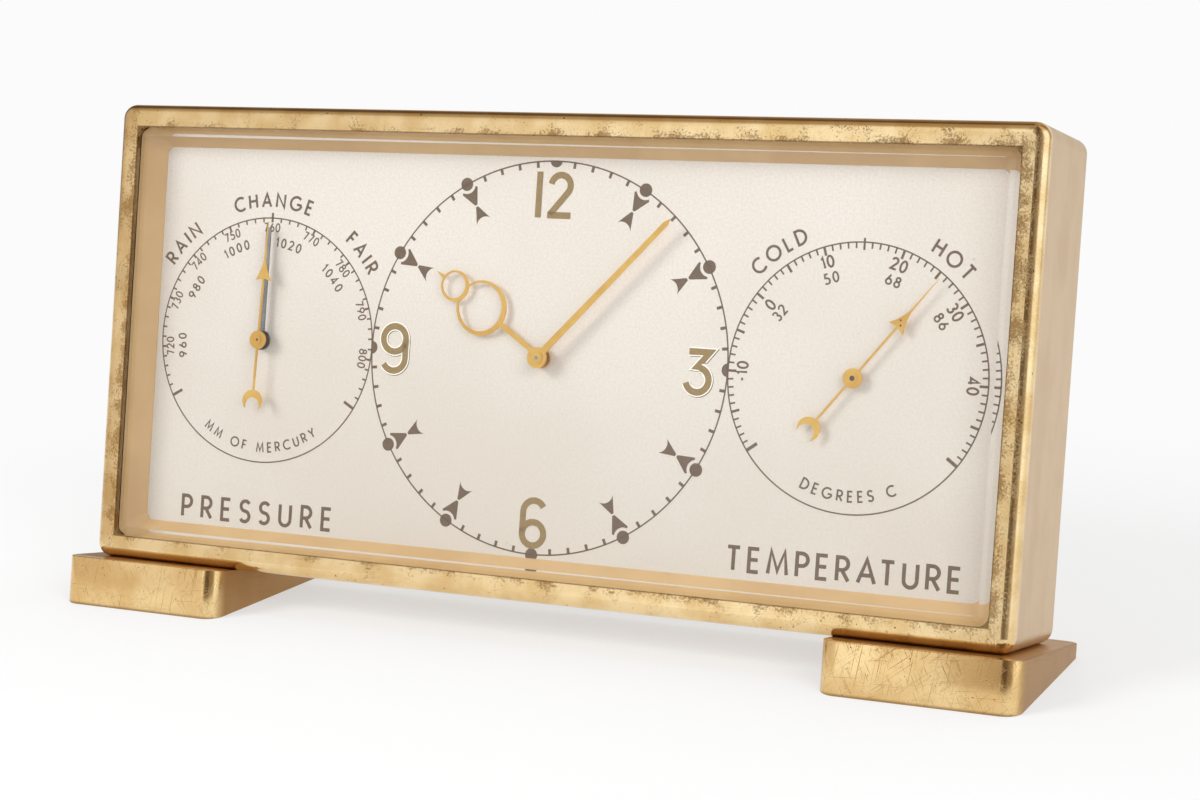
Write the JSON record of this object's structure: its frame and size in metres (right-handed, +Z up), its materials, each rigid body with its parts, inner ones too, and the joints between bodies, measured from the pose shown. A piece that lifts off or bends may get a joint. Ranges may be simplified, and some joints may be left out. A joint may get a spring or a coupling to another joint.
{
  "type": "table clock with barometer and thermometer",
  "caption": "Wide brass table clock leaning back on two wedge feet, with a clock between a barometer and a thermometer behind one bevelled glass.",
  "frame": {"origin": "middle of the whole clock's outline on the table, under the feet", "axes": "+X to the viewer's right, -Y towards the viewer, +Z up; the case leans back 9.5 degrees about X"},
  "size_m": [0.2066, 0.0562, 0.1037],
  "materials": {
    "case_brass": "polished, with small pits and tarnish",
    "cover_brass": "satin",
    "crystal_glass": "clear, bevelled edge",
    "seal_rubber": "matte",
    "surround_brass": "satin",
    "dial_silver": "silvered, fine grain",
    "numeral_brass": "satin, pale edge",
    "hand_gilt": "polished gilt",
    "set_hand_steel": "polished",
    "screw_steel": "satin",
    "plate_brass": "brushed",
    "wheel_brass": "satin",
    "arbor_steel": "polished",
    "spring_steel": "blued",
    "ruby": "polished",
    "capsule_metal": "nickel-plated, corrugated",
    "bimetal": "plain"
  },
  "bodies": {
    "case": {"case_shell": "case_brass", "crystal": "crystal_glass", "glass_seal": "seal_rubber", "dial_surround": "surround_brass", "dial_plate": "dial_silver", "hour_numerals": "numeral_brass", "distance_posts": "screw_steel", "back_cover": "cover_brass", "cover_screws": "screw_steel", "left_foot": "case_brass", "right_foot": "case_brass", "foot_screws": "screw_steel", "front_plate": "plate_brass", "back_plate": "plate_brass", "plate_pillars": "plate_brass", "movement_screws": "screw_steel", "click_spring": "spring_steel", "hairspring": "spring_steel", "balance_cock": "plate_brass", "balance_jewels": "ruby", "barometer_plate": "plate_brass", "capsule_plate": "plate_brass", "barometer_pillars": "plate_brass", "aneroid_capsule": "capsule_metal", "barometer_hairspring": "spring_steel", "thermometer_bracket": "plate_brass", "bimetal_coil": "bimetal"},
    "barrel": {"mainspring_barrel": "wheel_brass", "barrel_lid": "wheel_brass", "mainspring": "spring_steel"},
    "winding": {"barrel_arbor": "arbor_steel", "ratchet_wheel": "arbor_steel", "winding_key": "case_brass"},
    "click": {"click": "arbor_steel"},
    "intermediate": {"intermediate_wheel": "wheel_brass"},
    "centre": {"centre_wheel": "wheel_brass"},
    "third": {"third_wheel": "wheel_brass"},
    "fourth": {"fourth_wheel": "wheel_brass"},
    "escape": {"escape_wheel": "arbor_steel"},
    "fork": {"pallet_fork": "arbor_steel", "pallet_stones": "ruby"},
    "balance": {"balance_wheel": "wheel_brass", "impulse_jewel": "ruby"},
    "minute": {"cannon_pinion": "arbor_steel", "minute_hand": "hand_gilt"},
    "minute_wheel": {"minute_wheel": "wheel_brass"},
    "hour": {"hour_wheel": "wheel_brass", "hour_hand": "hand_gilt"},
    "setting": {"setting_arbor": "arbor_steel", "setting_knob": "case_brass"},
    "barometer_pointer": {"barometer_arbor": "arbor_steel", "barometer_hand": "hand_gilt"},
    "sector": {"sector_lever": "wheel_brass"},
    "rocking": {"rocking_lever": "arbor_steel"},
    "post": {"capsule_post": "arbor_steel"},
    "set_pointer": {"set_hand": "set_hand_steel", "set_hand_wheel": "wheel_brass"},
    "set_knob": {"set_hand_knob": "case_brass"},
    "thermometer_pointer": {"thermometer_arbor": "arbor_steel", "thermometer_hand": "hand_gilt"}
  },
  "joints": [
    {"name": "third_wheel_turn", "type": "hinge", "parent": "case", "child": "third", "pos_m": [0.00531, 0.00053, 0.06365], "axis": [0, 0.9863, -0.165], "continuous": true},
    {"name": "centre_wheel_turn", "type": "hinge", "parent": "case", "child": "centre", "pos_m": [0, -0.00099, 0.05458], "axis": [0, 0.9863, -0.165], "continuous": true},
    {"name": "intermediate_wheel_turn", "type": "hinge", "parent": "case", "child": "intermediate", "pos_m": [-0.00723, -0.00241, 0.04608], "axis": [0, 0.9863, -0.165], "continuous": true},
    {"name": "barrel_turn", "type": "hinge", "parent": "case", "child": "barrel", "pos_m": [-0.01945, -0.00443, 0.03403], "axis": [0, 0.9863, -0.165], "continuous": true},
    {"name": "fourth_wheel_turn", "type": "hinge", "parent": "case", "child": "fourth", "pos_m": [0.01506, 0.00024, 0.06196], "axis": [0, 0.9863, -0.165], "continuous": true},
    {"name": "escape_wheel_turn", "type": "hinge", "parent": "case", "child": "escape", "pos_m": [0.01807, -0.00112, 0.0538], "axis": [0, 0.9863, -0.165], "continuous": true},
    {"name": "winding", "type": "hinge", "parent": "case", "child": "winding", "pos_m": [-0.01945, -0.00443, 0.03403], "axis": [0, 0.9863, -0.165], "range_deg": [0, 2520], "deforming": ["mainspring"]},
    {"name": "click_lift", "type": "hinge", "parent": "case", "child": "click", "pos_m": [-0.01703, 0.00999, 0.04145], "axis": [0, 0.9863, -0.165], "range_deg": [-8, 0], "stiffness_Nm_per_rad": 0.0001, "deforming": ["click_spring"]},
    {"name": "fork_swing", "type": "hinge", "parent": "case", "child": "fork", "pos_m": [0.01807, 0.00276, 0.04671], "axis": [0, 0.9863, -0.165], "range_deg": [-6, 6]},
    {"name": "balance_swing", "type": "hinge", "parent": "case", "child": "balance", "pos_m": [0.01807, 0.00621, 0.03701], "axis": [0, 0.9863, -0.165], "range_deg": [-360, 160], "deforming": ["hairspring"]},
    {"name": "minute_hand_turn", "type": "hinge", "parent": "case", "child": "minute", "pos_m": [0, -0.00099, 0.05458], "axis": [0, 0.9863, -0.165], "continuous": true},
    {"name": "minute_wheel_turn", "type": "hinge", "parent": "case", "child": "minute_wheel", "pos_m": [-0.01039, 0, 0.0605], "axis": [0, 0.9863, -0.165], "continuous": true},
    {"name": "hour_hand_turn", "type": "hinge", "parent": "case", "child": "hour", "pos_m": [0, -0.00099, 0.05458], "axis": [0, 0.9863, -0.165], "continuous": true},
    {"name": "setting_turn", "type": "hinge", "parent": "case", "child": "setting", "pos_m": [-0.01639, 0.00171, 0.07075], "axis": [0, 0.9863, -0.165], "continuous": true},
    {"name": "sector_swing", "type": "hinge", "parent": "case", "child": "sector", "pos_m": [-0.05284, -0.00191, 0.04908], "axis": [0, 0.9863, -0.165], "range_deg": [-11.8, 11.8], "stiffness_Nm_per_rad": 0.005},
    {"name": "barometer_hand_turn", "type": "hinge", "parent": "case", "child": "barometer_pointer", "pos_m": [-0.0648, -0.00099, 0.05458], "axis": [0, 0.9863, -0.165], "range_deg": [-118, 118], "deforming": ["barometer_hairspring"]},
    {"name": "rocking_lever_swing", "type": "hinge", "parent": "case", "child": "rocking", "pos_m": [-0.0648, 0.00359, 0.0474], "axis": [1, 0, 0], "range_deg": [-11, 11]},
    {"name": "capsule_post_slide", "type": "slide", "parent": "case", "child": "post", "axis": [0, 0.9863, -0.165], "range_m": [-0.0012, 0.0012], "deforming": ["aneroid_capsule"]},
    {"name": "set_hand_turn", "type": "hinge", "parent": "case", "child": "set_pointer", "pos_m": [-0.0648, -0.00099, 0.05458], "axis": [0, 0.9863, -0.165], "continuous": true},
    {"name": "set_knob_turn", "type": "hinge", "parent": "case", "child": "set_knob", "pos_m": [-0.0648, 0.00218, 0.07352], "axis": [0, 0.9863, -0.165], "continuous": true},
    {"name": "thermometer_hand_turn", "type": "hinge", "parent": "case", "child": "thermometer_pointer", "pos_m": [0.0648, -0.00099, 0.05458], "axis": [0, 0.9863, -0.165], "range_deg": [-164.5, 87.5], "stiffness_Nm_per_rad": 0.0005, "deforming": ["bimetal_coil"]}
  ],
  "couplings": [
    {"joint": "centre_wheel_turn", "follows": "third_wheel_turn", "ratio": -0.13333},
    {"joint": "intermediate_wheel_turn", "follows": "third_wheel_turn", "ratio": 0.033333},
    {"joint": "barrel_turn", "follows": "third_wheel_turn", "ratio": -0.0047619},
    {"joint": "fourth_wheel_turn", "follows": "third_wheel_turn", "ratio": -8},
    {"joint": "escape_wheel_turn", "follows": "third_wheel_turn", "ratio": 80},
    {"joint": "minute_wheel_turn", "follows": "minute_hand_turn", "ratio": -0.33333},
    {"joint": "hour_hand_turn", "follows": "minute_hand_turn", "ratio": 0.083333},
    {"joint": "setting_turn", "follows": "minute_hand_turn", "ratio": 1},
    {"joint": "barometer_hand_turn", "follows": "sector_swing", "ratio": -10},
    {"joint": "rocking_lever_swing", "follows": "sector_swing", "ratio": 0.90909},
    {"joint": "capsule_post_slide", "follows": "sector_swing", "m_per_rad": -0.0057532},
    {"joint": "set_knob_turn", "follows": "set_hand_turn", "ratio": -1.6667}
  ]
}
